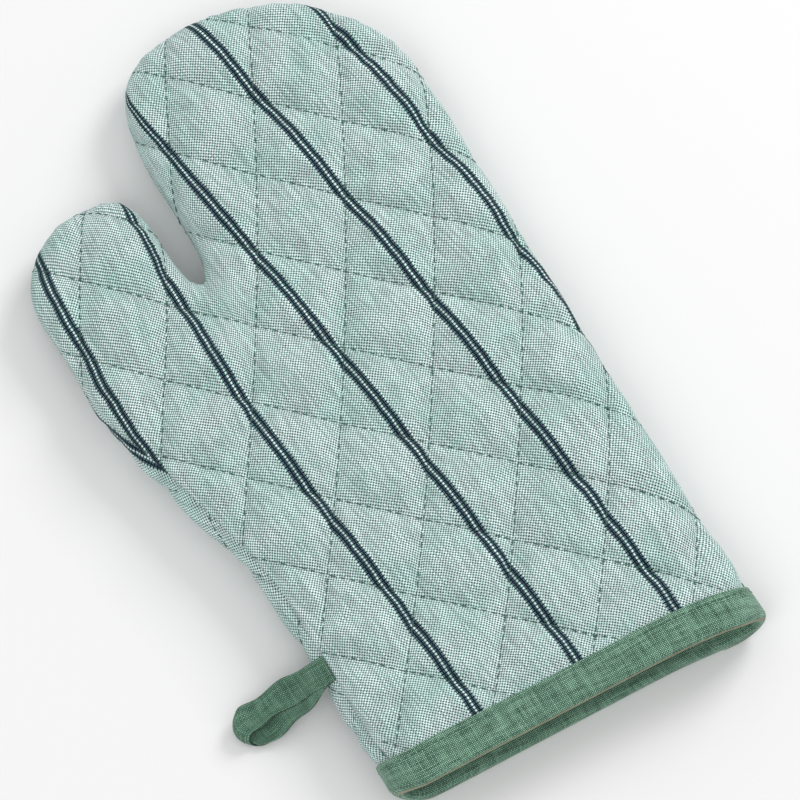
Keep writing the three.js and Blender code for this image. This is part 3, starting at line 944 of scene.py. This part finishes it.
class LoopTape:
    """The loop's tape: folded double, its lower leg askew under the upper one, with a rounded end."""

    def __init__(self, shape, tape):
        self.tape = tape
        self.path_x, self.path_z, self.length = loop_path(shape, tape, 400)

    def at(self, along, across):
        """Points at shares of the tape's length and width."""
        tape = self.tape
        share = np.linspace(0.0, 1.0, len(self.path_x))
        lower = smoothstep(along, *LEG_CHANGE)
        parted = smoothstep(np.minimum(along, 1.0 - along), *LEG_PARTING)
        skew = lerp(*SKEW_SHARES, lower) * parted * tape.loop_skew
        near_eye = np.exp(-((along - 0.5) / EYE_SPREAD) ** 2)
        drawn = tape.loop_round * np.abs(2.0 * across - 1.0) ** 2.2 * near_eye
        free = parted * (1.0 - near_eye)
        wave = LOOP_WAVE * np.sin(along * 26.0 + across * 2.0) * free
        ridge = LOOP_RIDGE * (1.0 - smoothstep(across, 0.0, 0.35)) * (1.0 - lower) * free
        return np.column_stack((
            np.interp(along, share, self.path_x) + drawn,
            LOOP_PLACE + (across - 0.5) * tape.loop_width + skew + wave,
            np.interp(along, share, self.path_z) + ridge,
        ))


def ride_loop(obj):
    """Bakes the piece's place into its mesh."""
    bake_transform(obj)


def make_loop():
    """The hanging loop: tape folded double, with a small open eye and its two legs a little askew."""
    scene = bpy.context.scene
    shape, tape = scene.mitt_shape, scene.mitt_tape
    loop = LoopTape(shape, tape)
    mesh, places = tape_grid(90, 10)
    set_points(mesh, loop.at(places[:, 0], places[:, 1]))
    keep_weave(mesh, np.column_stack((places[:, 0] * loop.length, places[:, 1] * tape.loop_width)))
    turn_over(mesh)
    obj = add_object("loop_tape", mesh, green_tape("loop"))
    thicken(obj, tape.thickness)
    round_edges(obj, EDGE_BEVEL * tape.thickness)
    ride_loop(obj)
    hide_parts("hanging_loop")


# ---------------------------------------------------------------- stitching


QUILT_LINES = 20  # lines of each set that are tried on either side of the middle
QUILT_REACH = 400 * MM  # how far each is followed either way
STITCH_LIFT = 0.15 * MM  # a quilting stitch's middle line above the cloth
TAPE_STEP, TAPE_STITCH = 3.1 * MM, 2.2 * MM  # from stitch to stitch along the tape, and the length of one
TAPE_THREAD = 0.9  # thickness of the tape's thread, as a share of the quilting's
RING_POINTS = 1200
OUTER_ROW, INNER_ROW = 0.08 * MM, -4.8 * MM  # the cuff's two rows of stitches, outside the plain form
INNER_SHORT = 2.2 * MM  # how much nearer the cuff's edge the inner row lies


class Surface:
    """Looks up the place on a finished cover's outer skin of a point of its flat cloth."""

    def __init__(self, obj, side):
        mesh = obj.data
        mesh.calc_loop_triangles()
        flat, _ = read_flat(mesh)
        corners = np.empty(len(mesh.loop_triangles) * 3, dtype=np.int32)
        mesh.loop_triangles.foreach_get("vertices", corners)
        corners = corners.reshape(-1, 3)
        first, second, third = (flat[corners[:, corner]] for corner in range(3))
        one, other = second - first, third - first
        # Laid flat, the inner skin's triangles are turned the other way round from the outer skin's.
        turned = one[:, 0] * other[:, 1] - one[:, 1] * other[:, 0]
        self.points = [vert.co.copy() for vert in mesh.vertices]
        self.flat = [Vector((x, y, 0.0)) for x, y in flat]
        self.triangles = [tuple(int(corner) for corner in row) for row in corners[side * turned > 0.0]]
        self.tree = BVHTree.FromPolygons(self.flat, self.triangles)

    def at(self, x, y, lift):
        """The frame point lift metres over a flat place, or None if the cloth doesn't reach there."""
        place = Vector((x, y, 0.0))
        hit, _, index, far = self.tree.find_nearest(place)
        if hit is None or far > 0.2 * MM:
            return None
        corners = self.triangles[index]
        points = [self.points[corner] for corner in corners]
        above = (points[1] - points[0]).cross(points[2] - points[0]).normalized() * lift
        return barycentric_transform(hit, *[self.flat[corner] for corner in corners], *points) + above


def stitch_mesh():
    """One stitch of unit length and thickness: a small long bead."""
    bm = bmesh.new()
    bmesh.ops.create_uvsphere(bm, u_segments=6, v_segments=6, radius=0.5)
    bmesh.ops.rotate(bm, verts=bm.verts, cent=(0, 0, 0), matrix=Matrix.Rotation(math.pi / 2, 3, "Y"))
    return as_mesh(bm, "stitch")


def add_stitches(name, ends, thickness, material):
    """One object with a stitch between each pair of ends."""
    one = stitch_mesh()
    bm = bmesh.new()
    for start, end in ends:
        run = end - start
        turn = run.to_track_quat("X", "Z").to_matrix().to_4x4()
        size = Matrix.Diagonal((run.length, thickness, thickness, 1.0))
        first = len(bm.verts)
        bm.from_mesh(one)
        bm.verts.ensure_lookup_table()
        new = bm.verts[first:]
        place = Matrix.Translation((start + end) / 2)
        bmesh.ops.transform(bm, verts=new, matrix=place @ turn @ size)
    bpy.data.meshes.remove(one)
    return add_object(name, as_mesh(bm, name), material)


def quilting_ends(side, quilt, surface):
    """The ends of every quilting stitch of one side."""
    random.seed(20 + side)
    ends = []
    step = quilt.stitch + quilt.stitch_gap
    for pitch, across, phase, bow in line_sets(quilt):
        way = np.array((-across[1], across[0]))
        for line in range(-QUILT_LINES, QUILT_LINES + 1):
            run = -QUILT_REACH
            while run < QUILT_REACH:
                marks = []
                for place in (run, run + quilt.stitch * random.uniform(0.85, 1.05)):
                    off = (line - phase) * pitch - bow * (place / BOW_LENGTH) ** 2
                    base = LINE_MIDDLE + way * place
                    base = base + across * (off - float(base @ across))
                    marks.append(surface.at(float(base[0]), float(base[1]), STITCH_LIFT))
                run += step * random.uniform(0.94, 1.06)
                if None not in marks and (marks[1] - marks[0]).length < 1.5 * quilt.stitch:
                    ends.append(marks)
    return ends


def make_quilting(side):
    """The quilting stitches of one side."""
    scene = bpy.context.scene
    quilt = scene.mitt_quilt
    name = SIDE_NAMES[side]
    surface = Surface(bpy.data.objects[name + "_cover_cloth"], side)
    obj = add_stitches(name + "_quilting_stitches", quilting_ends(side, quilt, surface), quilt.thread,
                       sewing_thread("sage"))
    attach(obj, "mitt")


def make_side_stitches():
    """The stitches that close the side seam, down in its groove."""
    scene = bpy.context.scene
    shape, quilt = scene.mitt_shape, scene.mitt_quilt
    outline = Outline(shape)
    foot = outline.points
    _, _, way = outline.nearest(foot)
    sunk = np.full(len(foot), 0.35 * MM - shape.seam_groove)
    inset, height = section(shape, FRONT, seam_turn(shape, foot), foot[:, 1], sunk)
    seam = np.column_stack((foot + way * inset[:, None], height))
    seam[:, 1] += cuff_slip(shape, seam[:, 0], foot[:, 1])
    seam += np.array(origin())
    long, step = 4, 6
    ends = [
        (Vector(seam[index]), Vector(seam[index + long]))
        for index in range(0, len(seam) - long, step)
        if foot[index, 1] > TAPE_END and foot[index + long, 1] > TAPE_END
    ]
    obj = add_stitches("side_seam_stitches", ends, quilt.thread, sewing_thread("sage"))
    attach(obj, "mitt")
    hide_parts("side_seam_thread")


def make_cuff_stitches():
    """The row of stitches that holds the binding, outside and inside the cuff."""
    scene = bpy.context.scene
    shape, quilt, tape = scene.mitt_shape, scene.mitt_quilt, scene.mitt_tape
    place = Vector(origin())
    ends = []
    for y, offset in ((tape.stitch_line, OUTER_ROW), (tape.stitch_line - INNER_SHORT, INNER_ROW)):
        ring_x, ring_z, perimeter = cuff_ring(shape, y, offset, RING_POINTS)
        each = perimeter / (RING_POINTS - 1)
        ring = np.column_stack((ring_x, np.full_like(ring_x, y), np.maximum(ring_z, 0.3 * MM)))
        ring[:, 1] += cuff_slip(shape, ring[:, 0], ring[:, 1])
        long = round(TAPE_STITCH / each)
        for index in range(0, RING_POINTS - 1 - long, round(TAPE_STEP / each)):
            ends.append((Vector(ring[index]) + place, Vector(ring[index + long]) + place))
    obj = add_stitches("cuff_stitches", ends, quilt.thread * TAPE_THREAD, sewing_thread("green"))
    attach(obj, "mitt")
    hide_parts("cuff_binding_thread")


def make_loop_stitches():
    """The rows of stitches along both edges of the loop's tape."""
    scene = bpy.context.scene
    shape, quilt, tape = scene.mitt_shape, scene.mitt_quilt, scene.mitt_tape
    loop = LoopTape(shape, tape)
    count = round(loop.length / TAPE_STEP)
    starts = (np.arange(count) + 0.15) / count
    starts = starts[(starts > 0.03) & (starts < 0.95)]
    edge = 1.8 * MM / tape.loop_width
    place = np.array(origin())
    ends = []
    for row in (edge, 1.0 - edge):
        across = np.full_like(starts, row)
        first = loop.at(starts, across) + place
        last = loop.at(starts + TAPE_STITCH / loop.length, across) + place
        ends += [(Vector(a), Vector(b)) for a, b in zip(first, last)]
    obj = add_stitches("loop_stitches", ends, quilt.thread * TAPE_THREAD, sewing_thread("green"))
    ride_loop(obj)
    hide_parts("loop_thread")


# ---------------------------------------------------------------- materials


class Value:
    """A number in a material's nodes. Sums on it add the Math nodes."""

    def __init__(self, nodes, socket):
        self.nodes, self.socket = nodes, socket

    def math(self, operation, *others):
        return self.nodes.value("ShaderNodeMath", {"operation": operation}, self, *others)

    def __add__(self, other):
        return self.math("ADD", other)

    def __sub__(self, other):
        return self.math("SUBTRACT", other)

    def __mul__(self, other):
        return self.math("MULTIPLY", other)

    def __truediv__(self, other):
        return self.math("DIVIDE", other)

    def __mod__(self, other):
        return self.math("FLOORED_MODULO", other)

    def __pow__(self, other):
        return self.math("POWER", other)

    def __rsub__(self, other):
        return self.nodes.value("ShaderNodeMath", {"operation": "SUBTRACT"}, other, self)

    __radd__ = __add__
    __rmul__ = __mul__

    def floor(self):
        return self.math("FLOOR")

    def fract(self):
        return self.math("FRACT")

    def sine(self):
        return self.math("SINE")

    def abs(self):
        return self.math("ABSOLUTE")

    def above(self, level):
        return self.math("GREATER_THAN", level)

    def ramp(self, low, high):
        """0 at low and below, 1 at high and above, smooth between."""
        settings = {"interpolation_type": "SMOOTHSTEP"}
        return self.nodes.value("ShaderNodeMapRange", settings, self, low, high, 0.0, 1.0)


class Nodes:
    """The nodes of one new material."""

    def __init__(self, name):
        self.material = bpy.data.materials.new(name)
        self.material.use_nodes = True
        self.tree = self.material.node_tree
        self.shader = self.tree.nodes["Principled BSDF"]

    def node(self, kind, settings=None, *values, **named):
        """A new node of a kind: its settings first, then values or links for its sockets."""
        node = self.tree.nodes.new(kind)
        for key, setting in (settings or {}).items():
            setattr(node, key, setting)
        enabled = [socket for socket in node.inputs if socket.enabled]
        for socket, value in zip(enabled, values):
            self.connect(socket, value)
        for key, value in named.items():
            wanted = key.replace("_", " ")
            socket = next(s for s in enabled if s.name.replace("_", " ") == wanted)
            self.connect(socket, value)
        return node

    def connect(self, socket, value):
        """Sets a socket to a value, or links it."""
        if isinstance(value, Value):
            self.tree.links.new(value.socket, socket)
        elif value is not None:
            socket.default_value = value

    def value(self, kind, settings=None, *values, output=0, **named):
        """The wrapped output of a new node."""
        node = self.node(kind, settings, *values, **named)
        if isinstance(output, str):
            return Value(self, node.outputs[output])
        outputs = [socket for socket in node.outputs if socket.enabled]
        return Value(self, outputs[output])

    def mix(self, share, first, second, blend="MIX"):
        """A mix of two colours."""
        settings = {"data_type": "RGBA", "blend_type": blend}
        opaque = [tint if isinstance(tint, Value) else (*tint, 1.0) for tint in (first, second)]
        return self.value("ShaderNodeMix", settings, share, *opaque)

    def parts(self, vector):
        """The X, Y and Z of a vector."""
        node = self.node("ShaderNodeSeparateXYZ", None, vector)
        return [Value(self, output) for output in node.outputs]

    def place(self):
        """The place on the object, in metres."""
        return self.value("ShaderNodeTexCoord", None, output="Object")

    def weave_places(self):
        """The piece's own weave map, and the places along weft and warp that it holds."""
        uv = self.value("ShaderNodeUVMap", {"uv_map": "weave"})
        across, along, _ = self.parts(uv)
        return uv, across, along

    def vector(self, x, y, z=0.0):
        return self.value("ShaderNodeCombineXYZ", None, x, y, z)

    def noise(self, place, scale, detail=2.0, roughness=0.5):
        settings = {"noise_dimensions": "3D"}
        return self.value("ShaderNodeTexNoise", settings, Vector=place, Scale=scale, Detail=detail,
                          Roughness=roughness)

    def finish(self, base, roughness, height, strength, distance, sheen=0.3):
        """Connects the finished colour, roughness and relief to the shader."""
        bump = self.value("ShaderNodeBump", None, Strength=strength, Distance=distance, Height=height)
        for name, value in (("Base Color", base), ("Roughness", roughness), ("Normal", bump)):
            self.connect(self.shader.inputs[name], value)
        self.shader.inputs["Sheen Weight"].default_value = sheen
        self.shader.inputs["Sheen Roughness"].default_value = 0.5
        self.shader.inputs["Specular IOR Level"].default_value = 0.12
        return self.material


def shade(tint, share):
    """A colour made darker or lighter."""
    return tuple(min(1.0, channel * share) for channel in tint)


def once(make):
    """Makes a material the first time it is asked for, and gives the same one after that."""
    made = {}

    def get(*key):
        if key not in made:
            made[key] = make(*key)
        return made[key]

    return get


def threads(nodes, uv, across, along, pick):
    """A plain weave whose threads wander a little.

    Gives whether the warp is on top, the relief, random values along the warp's and the weft's threads,
    and the number of the warp's thread.
    """
    wander = nodes.value("ShaderNodeTexNoise", None, Vector=uv, Scale=0.16 / pick, Detail=1.0, output="Color")
    drift_across, drift_along, _ = nodes.parts(wander)
    a = across / pick + (drift_across - 0.5) * 0.7 + 0.5
    b = along / pick + (drift_along - 0.5) * 0.7
    column, row = a.floor(), b.floor()
    warp_up = ((column + row) % 2.0).above(0.5)
    round_across, round_along = (a.fract() * math.pi).sine(), (b.fract() * math.pi).sine()
    on_warp = round_across * round_along**0.35
    on_weft = round_across**0.35 * round_along
    relief = warp_up * on_warp + (1.0 - warp_up) * on_weft
    warp_shade = nodes.noise(nodes.vector(column * 7.31, along * 90.0), 1.0, 1.0)
    weft_shade = nodes.noise(nodes.vector(row * 5.77, across * 90.0, 9.0), 1.0, 1.0)
    return warp_up, relief, warp_shade, weft_shade, column


@once
def cover_cloth():
    """Chambray linen: pale warp, sage weft with slubs, and stripes of two navy lines in the warp."""
    cloth = bpy.context.scene.mitt_cloth
    nodes = Nodes("cover_cloth")
    uv, across, along = nodes.weave_places()
    warp_up, relief, warp_shade, weft_shade, column = threads(nodes, uv, across, along, cloth.pick)
    weft_up = 1.0 - warp_up
    warp = nodes.mix(warp_shade.ramp(0.3, 0.7), shade(cloth.warp, 0.68), cloth.warp)
    weft = nodes.mix(weft_shade.ramp(0.25, 0.75), shade(cloth.weft, 0.55), shade(cloth.weft, 2.2))
    speckle = nodes.noise(uv, 0.7 / cloth.pick, 2.0)
    sage = weft_up * relief.ramp(0.05, 0.5) * (speckle.ramp(0.25, 0.55) * 0.35 + 0.75)
    ground = nodes.mix(sage, warp, weft)
    half = cloth.stripe_threads // 2
    place = ((column + half) % float(cloth.stripe_threads) - half).abs()
    line = place.above(0.5) * (1.0 - place.above(3.5))
    inner, outer = place.above(1.5), place.above(2.5)
    navy = line * (warp_up + weft_up * (0.45 + inner * 0.5 - outer * 0.95))
    striped = nodes.mix(navy, ground, cloth.stripe)
    patches = nodes.noise(uv, 45.0, 3.0)
    shaded = nodes.mix(patches.ramp(0.35, 0.7) * 0.5, striped, (0.68, 0.88, 0.83), "MULTIPLY")
    # Painted shade: the cloth is darkened where the thread relief is low, in the gaps between the threads.
    weave_with_painted_shade = nodes.mix((1.0 - relief.ramp(0.0, 0.5)) * 0.45, shaded, (0.4, 0.5, 0.48), "MULTIPLY")
    return nodes.finish(weave_with_painted_shade, relief * -0.1 + 0.92, relief, 0.4, 0.2 * MM, 0.06)


@once
def green_tape(piece):
    """Green cotton tape in a plain weave. On the cuff, tan undyed cloth shows in a fine line at the fold."""
    cloth, tape = bpy.context.scene.mitt_cloth, bpy.context.scene.mitt_tape
    nodes = Nodes("green_tape_" + piece)
    uv, across, along = nodes.weave_places()
    warp_up, relief, warp_shade, weft_shade, _ = threads(nodes, uv, across, along, cloth.tape_pick)
    # Painted light and shade: the relief lightens the tape on the thread crowns and darkens it between them,
    # along with the random tone of each thread.
    tone_and_painted_shade = relief * 0.9 + warp_up * 0.16 + (warp_shade + weft_shade) * 0.6 - 0.82
    base = nodes.mix(tone_and_painted_shade.ramp(0.1, 0.85), cloth.tape_dark, cloth.tape_light)
    patches = nodes.noise(uv, 60.0, 3.0)
    base = nodes.mix(patches.ramp(0.35, 0.7) * 0.4, base, (0.72, 0.8, 0.76), "MULTIPLY")
    # Painted shade: the loop's copy of the same tape is made darker all over.
    if piece == "loop":
        base = nodes.mix(1.0, base, (0.72, 0.78, 0.75), "MULTIPLY")
    if piece == "cuff":
        worn = nodes.noise(uv, 400.0, 2.0) * 0.5 * MM
        from_line = (along - (tape.width + tape.fold_line) + worn).abs()
        _, _, height = nodes.parts(nodes.place())
        on_front = height.above(CUFF_HEIGHT / 2)
        fold = (1.0 - from_line.ramp(0.2 * MM, 0.5 * MM)) * on_front * 0.85
        base = nodes.mix(fold, base, cloth.tape_fold)
    return nodes.finish(base, 0.9, relief, 0.5, 0.25 * MM, 0.25)


@once
def lining_cloth():
    """Undyed cotton in a fine plain weave."""
    cloth = bpy.context.scene.mitt_cloth
    nodes = Nodes("lining_cloth")
    uv, across, along = nodes.weave_places()
    warp_up, relief, warp_shade, weft_shade, _ = threads(nodes, uv, across, along, cloth.lining_pick)
    # Painted light and shade: the relief lightens the lining on the thread crowns and darkens it between
    # them, along with the random tone of each thread.
    tone_and_painted_shade = warp_up * 0.2 + relief * 0.4 + warp_shade * 0.3 + weft_shade * 0.3
    base = nodes.mix(tone_and_painted_shade.ramp(0.1, 1.0), shade(cloth.lining, 0.72), cloth.lining)
    return nodes.finish(base, 0.92, relief, 0.35, 0.15 * MM, 0.2)


@once
def wadding():
    """Matted cotton fibre."""
    cloth = bpy.context.scene.mitt_cloth
    nodes = Nodes("cotton_wadding")
    clumps = nodes.noise(nodes.place(), 140.0, 4.0, 0.7)
    fibre = nodes.noise(nodes.place(), 900.0, 3.0, 0.7)
    base = nodes.mix(clumps.ramp(0.3, 0.75), shade(cloth.wadding, 0.85), cloth.wadding)
    return nodes.finish(base, 0.97, clumps + fibre * 0.5, 0.5, 0.6 * MM, 0.4)


@once
def sewing_thread(kind):
    """Spun sewing thread, with the slight mottle of its twist."""
    cloth = bpy.context.scene.mitt_cloth
    nodes = Nodes(kind + "_thread")
    # The sage tint is darkened with painted shade of the creases and the groove that its stitches lie in.
    tint = cloth.sage_thread if kind == "sage" else cloth.green_thread
    twist = nodes.noise(nodes.place(), 2500.0, 2.0)
    base = nodes.mix(twist.ramp(0.3, 0.7), shade(tint, 0.7), shade(tint, 1.2))
    return nodes.finish(base, 0.75, twist, 0.3, 0.1 * MM, 0.3)


def floor_paint():
    """The even pale floor."""
    nodes = Nodes("floor")
    grainy = nodes.noise(nodes.place(), 3.0)
    base = nodes.mix(grainy * 0.02, bpy.context.scene.mitt_stage.floor, (0.8, 0.8, 0.8))
    nodes.connect(nodes.shader.inputs["Base Color"], base)
    nodes.shader.inputs["Roughness"].default_value = 0.9
    nodes.shader.inputs["Specular IOR Level"].default_value = 0.1
    return nodes.material


# ---------------------------------------------------------------- stage


def add_light(name, place, size, power, target):
    """A soft square light that looks at the target."""
    light = bpy.data.lights.new(name, "AREA")
    light.shape = "SQUARE"
    light.size = size
    light.energy = power
    obj = bpy.data.objects.new(name, light)
    obj.location = place
    obj.rotation_euler = (Vector(target) - Vector(place)).to_track_quat("-Z", "Y").to_euler()
    bpy.context.collection.objects.link(obj)


def make_stage():
    """Floor, lights, sky and camera."""
    scene = bpy.context.scene
    stage = scene.mitt_stage
    bm = bmesh.new()
    bmesh.ops.create_grid(bm, x_segments=1, y_segments=1, size=12.0)
    floor = add_object("floor", as_mesh(bm, "floor"), floor_paint())
    world = bpy.data.worlds.new("studio")
    scene.world = world
    world.use_nodes = True
    background = world.node_tree.nodes["Background"]
    background.inputs["Color"].default_value = (1.0, 1.0, 1.0, 1.0)
    background.inputs["Strength"].default_value = stage.sky
    target = Vector(stage.target)
    add_light("key", (1.75, 0.65, 1.25), 0.9, stage.key_power, target)
    add_light("fill", (-1.4, -0.9, 1.8), 1.6, stage.fill_power, target)
    turn, rise = stage.azimuth, stage.elevation
    back = Vector((math.sin(turn) * math.cos(rise), -math.cos(turn) * math.cos(rise), math.sin(rise)))
    camera = bpy.data.cameras.new("camera")
    camera.lens = stage.lens
    camera.sensor_width = 36.0
    camera.clip_end = 50.0
    obj = bpy.data.objects.new("camera", camera)
    obj.location = target + back * stage.distance
    obj.rotation_euler = (-back).to_track_quat("-Z", "Y").to_euler()
    bpy.context.collection.objects.link(obj)
    scene.camera = obj
    scene.view_settings.view_transform = "Standard"


# ---------------------------------------------------------------- operators, panel and start


class MITT_OT_stage(bpy.types.Operator):
    """Make the floor, the lights and the camera"""

    bl_idname = "mitt.stage"
    bl_label = "Stage"

    def execute(self, context):
        make_stage()
        return {"FINISHED"}


class MITT_OT_covers(bpy.types.Operator):
    """Make the two woven covers, filled out between their quilting lines"""

    bl_idname = "mitt.covers"
    bl_label = "Covers"

    def execute(self, context):
        for side in (FRONT, BACK):
            make_cover(side)
        return {"FINISHED"}


class MITT_OT_waddings(bpy.types.Operator):
    """Make the two layers of cotton wadding"""

    bl_idname = "mitt.waddings"
    bl_label = "Waddings"

    def execute(self, context):
        for side in (FRONT, BACK):
            make_wadding(side)
        return {"FINISHED"}


class MITT_OT_linings(bpy.types.Operator):
    """Make the two cotton linings"""

    bl_idname = "mitt.linings"
    bl_label = "Linings"

    def execute(self, context):
        for side in (FRONT, BACK):
            make_lining(side)
        return {"FINISHED"}


class MITT_OT_binding(bpy.types.Operator):
    """Make the tape that binds the cuff"""

    bl_idname = "mitt.binding"
    bl_label = "Cuff binding"

    def execute(self, context):
        make_binding()
        return {"FINISHED"}


class MITT_OT_loop(bpy.types.Operator):
    """Make the hanging loop"""

    bl_idname = "mitt.loop"
    bl_label = "Hanging loop"

    def execute(self, context):
        make_loop()
        return {"FINISHED"}


class MITT_OT_stitching(bpy.types.Operator):
    """Sew the quilting, the side seam, the cuff and the loop"""

    bl_idname = "mitt.stitching"
    bl_label = "Stitching"

    def execute(self, context):
        if "front_cover_cloth" not in bpy.data.objects:
            raise RuntimeError("the covers are made before the stitching")
        for side in (FRONT, BACK):
            make_quilting(side)
        make_side_stitches()
        make_cuff_stitches()
        make_loop_stitches()
        return {"FINISHED"}


SETTINGS = {
    "mitt_shape": MittShape,
    "mitt_quilt": MittQuilt,
    "mitt_cloth": MittCloth,
    "mitt_tape": MittTape,
    "mitt_stage": MittStage,
}
STEPS = (MITT_OT_stage, MITT_OT_covers, MITT_OT_waddings, MITT_OT_linings, MITT_OT_binding, MITT_OT_loop,
         MITT_OT_stitching)


class MITT_PT_sidebar(bpy.types.Panel):
    """The mitt's steps in the sidebar"""

    bl_idname = "MITT_PT_sidebar"
    bl_label = "Oven Mitt"
    bl_space_type = "VIEW_3D"
    bl_region_type = "UI"
    bl_category = "Mitt"

    def draw(self, context):
        for step in STEPS:
            self.layout.operator(step.bl_idname)


CLASSES = tuple(SETTINGS.values()) + STEPS + (MITT_PT_sidebar,)


def register():
    """Adds the classes and the settings."""
    for each in CLASSES:
        bpy.utils.register_class(each)
    for name, group in SETTINGS.items():
        setattr(bpy.types.Scene, name, PointerProperty(type=group))


def unregister():
    """Takes the settings and the classes away."""
    for name in SETTINGS:
        delattr(bpy.types.Scene, name)
    for each in reversed(CLASSES):
        bpy.utils.unregister_class(each)


def main():
    """Makes the whole mitt."""
    register()
    for step in STEPS:
        group, name = step.bl_idname.split(".")
        getattr(getattr(bpy.ops, group), name)()


if __name__ == "__main__":
    main()
